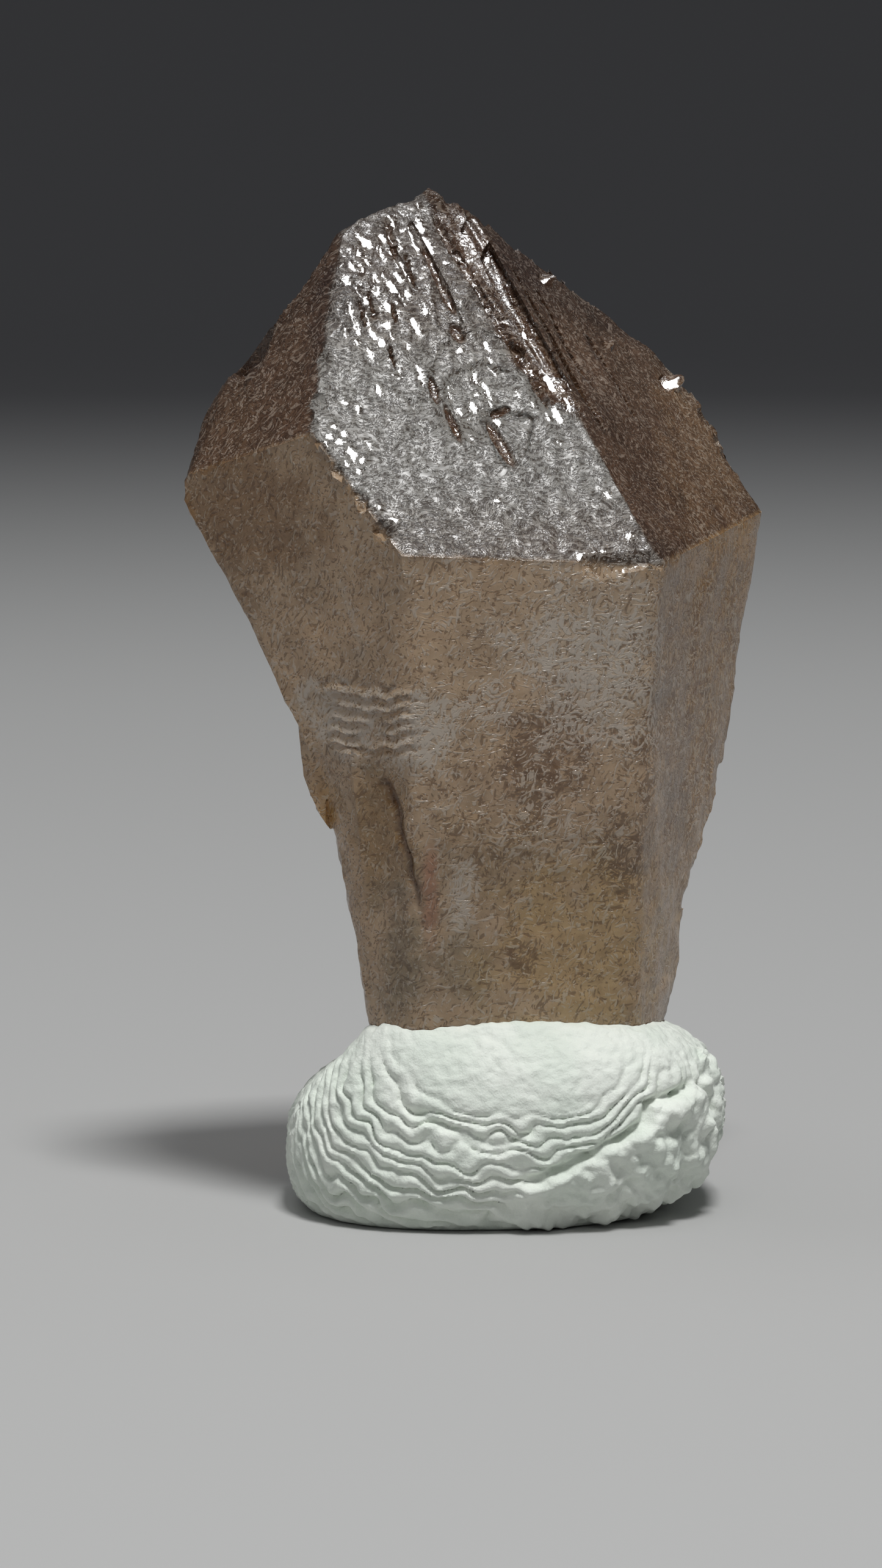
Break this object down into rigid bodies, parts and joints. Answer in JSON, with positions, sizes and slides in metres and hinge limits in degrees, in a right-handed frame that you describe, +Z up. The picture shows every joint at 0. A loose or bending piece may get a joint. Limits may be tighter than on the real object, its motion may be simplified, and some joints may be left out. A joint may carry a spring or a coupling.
{
  "type": "elestial quartz specimen",
  "caption": "Elestial smoky quartz crystal with etched, stepped faces, held upright in a pad of mounting putty.",
  "frame": {"origin": "on the surface the putty stands on, under the middle of the object's width and depth", "axes": "+Z up along the crystal, -Y towards the bright etched front end face, +X to its right"},
  "size_m": [0.0191, 0.015, 0.0334],
  "materials": {
    "quartz": "smoky brown translucent crystal, smooth on its sides and frosted on its front end face",
    "putty": "matt off-white putty with pressed fingerprint ridges"
  },
  "bodies": {
    "root": {"quartz_crystal": "quartz", "mounting_putty": "putty"}
  },
  "joints": []
}
